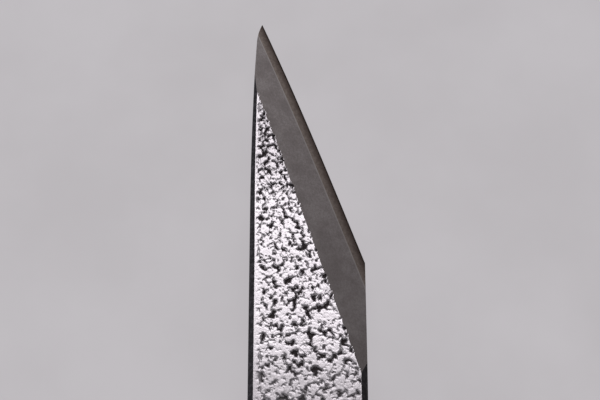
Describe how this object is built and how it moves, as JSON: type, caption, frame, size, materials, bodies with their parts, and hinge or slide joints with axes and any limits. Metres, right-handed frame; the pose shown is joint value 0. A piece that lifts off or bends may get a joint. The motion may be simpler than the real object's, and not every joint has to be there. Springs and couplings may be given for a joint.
{
  "type": "boning knife",
  "caption": "Short skew-ended boning knife with a single-bevel laminated blade, a textured front face, and a full tang between bolsters and riveted wood scales.",
  "frame": {"origin": "middle of the knife's length and width, on the surface that its back scale lies on", "axes": "+Y from the butt to the tip, +X from the spine to the cutting edge, +Z out of the ground front face"},
  "size_m": [0.024, 0.207, 0.0185],
  "materials": {
    "blade_iron": "hammered and etched front face with bright flats and dark pits, matt stone-ground bevel, dark sides",
    "hard_steel": "smooth fine-ground dark steel",
    "bolster_steel": "satin",
    "rivet_steel": "ground flush and polished",
    "liner_fibre": "matt black vulcanised fibre",
    "scale_wood": "dark resin-filled hardwood, rubbed to a low sheen"
  },
  "bodies": {
    "root": {"blade_body": "blade_iron", "edge_steel": "hard_steel", "front_bolster": "bolster_steel", "back_bolster": "bolster_steel", "bolster_pin_spine": "rivet_steel", "bolster_pin_edge": "rivet_steel", "front_liner": "liner_fibre", "back_liner": "liner_fibre", "front_scale": "scale_wood", "back_scale": "scale_wood", "front_rivet_sleeve": "rivet_steel", "front_rivet_post": "rivet_steel", "middle_rivet_sleeve": "rivet_steel", "middle_rivet_post": "rivet_steel", "rear_rivet_sleeve": "rivet_steel", "rear_rivet_post": "rivet_steel"}
  },
  "joints": []
}
